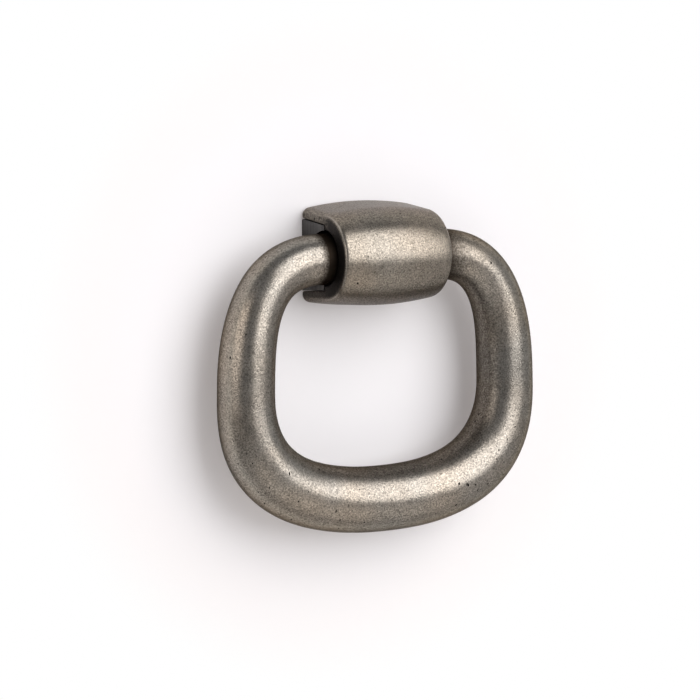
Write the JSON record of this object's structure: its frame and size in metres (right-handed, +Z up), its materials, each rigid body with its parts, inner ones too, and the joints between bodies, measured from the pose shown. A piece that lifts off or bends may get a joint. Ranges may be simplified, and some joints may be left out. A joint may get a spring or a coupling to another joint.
{
  "type": "drop pull",
  "caption": "Cast metal drop pull for a drawer: a thick rounded ring that swings from a barrel-shaped saddle, screwed on from behind.",
  "frame": {"origin": "mouth of the mounting screw's hole, in the middle of the saddle's back, on the drawer front", "axes": "+Z up as mounted, with the ring hanging towards -Z; the pull stands out towards -Y; +X to the right seen from the front"},
  "size_m": [0.0596, 0.0157, 0.0552],
  "materials": {
    "aged_pewter": "cast, tumbled and darkened, satin with fine grain and pits",
    "block_metal": "plain cast, darker and smoother than the cover",
    "screw_steel": "blackened steel"
  },
  "bodies": {
    "saddle": {"saddle_cover": "aged_pewter", "base_block": "block_metal", "grub_screw": "screw_steel"},
    "ring": {"drop_ring": "aged_pewter"}
  },
  "joints": [
    {"name": "ring_swing", "type": "hinge", "parent": "saddle", "child": "ring", "pos_m": [0, -0.00745, -0.0002], "axis": [-1, 0, 0], "range_deg": [-2.5, 182.5]}
  ]
}
